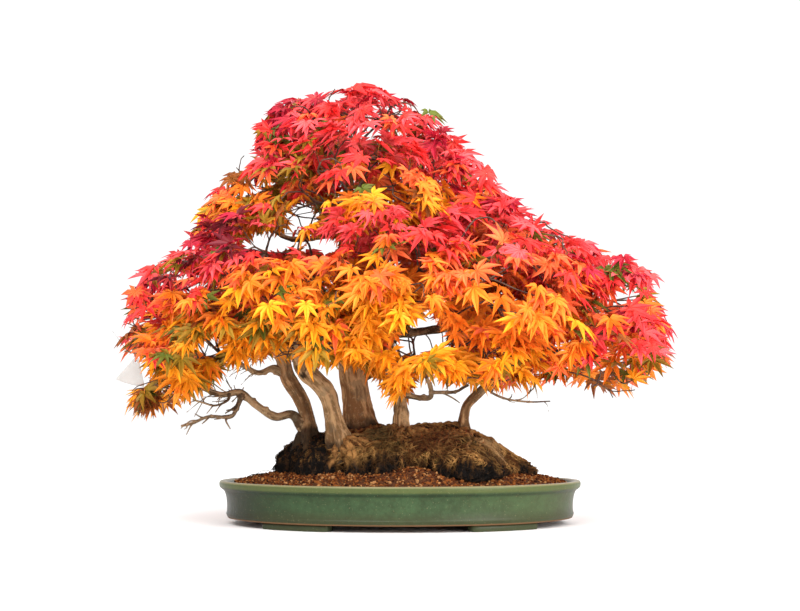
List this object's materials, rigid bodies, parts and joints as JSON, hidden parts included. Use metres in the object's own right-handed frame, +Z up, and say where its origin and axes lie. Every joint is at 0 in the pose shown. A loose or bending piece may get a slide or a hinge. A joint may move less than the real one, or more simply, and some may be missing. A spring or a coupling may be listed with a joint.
{
  "type": "japanese maple bonsai",
  "caption": "Japanese maple bonsai in autumn leaf: slender trunks from one root mound carry layered pads of red and gold leaves, in a shallow oval green glazed pot on feet.",
  "frame": {"origin": "on the surface that the pot stands on, below the middle of the whole plant's box", "axes": "+X to the right seen from the front, -Y towards the front, +Z up"},
  "size_m": [0.7902, 0.559, 0.6077],
  "materials": {
    "glaze": "mottled green glaze, glossy, browner towards the edges",
    "clay": "unglazed brown stoneware, matt",
    "soil": "loose reddish-brown granules",
    "root": "dark fibrous root mass with a little moss",
    "bark": "rough grey-brown bark",
    "twig": "dry bare twigs",
    "red_leaf": "thin autumn leaves, pink-red to crimson",
    "gold_leaf": "thin autumn leaves, orange to gold",
    "paper": "plain white card, matt",
    "thread": "pale thread"
  },
  "bodies": {
    "root": {"bare_branch": "twig", "bare_fork": "twig", "bare_twig_left": "twig", "bare_twig_right": "twig", "bough_back_left": "bark", "bough_back_right": "bark", "bough_elbow": "bark", "bough_front": "bark", "bough_front_left": "bark", "bough_left": "bark", "bough_low_back": "bark", "bough_low_left": "bark", "bough_right": "bark", "bough_shoulder": "bark", "bough_upper_back": "bark", "bough_upper_front": "bark", "bough_upper_left": "bark", "bough_upper_right": "bark", "foliage_back_left": "red_leaf", "foliage_back_right": "red_leaf", "foliage_front": "red_leaf", "foliage_front_left": "red_leaf", "foliage_front_right": "gold_leaf", "foliage_left": "red_leaf", "foliage_low_back": "gold_leaf", "foliage_low_centre_left": "gold_leaf", "foliage_low_front": "gold_leaf", "foliage_low_front_left": "gold_leaf", "foliage_low_left": "gold_leaf", "foliage_low_right": "gold_leaf", "foliage_right": "red_leaf", "foliage_shoulder": "red_leaf", "foliage_top": "red_leaf", "foliage_upper_back": "red_leaf", "foliage_upper_front": "red_leaf", "foliage_upper_left": "red_leaf", "foliage_upper_right": "red_leaf", "foot_back_left": "clay", "foot_back_right": "clay", "foot_front_left": "clay", "foot_front_right": "clay", "pot": "glaze", "root_mound": "root", "soil": "soil", "tag": "paper", "tag_thread": "thread", "tag_twig": "twig", "trunk_front": "bark", "trunk_left": "bark", "trunk_main": "bark", "trunk_middle": "bark", "trunk_right": "bark"}
  },
  "joints": []
}
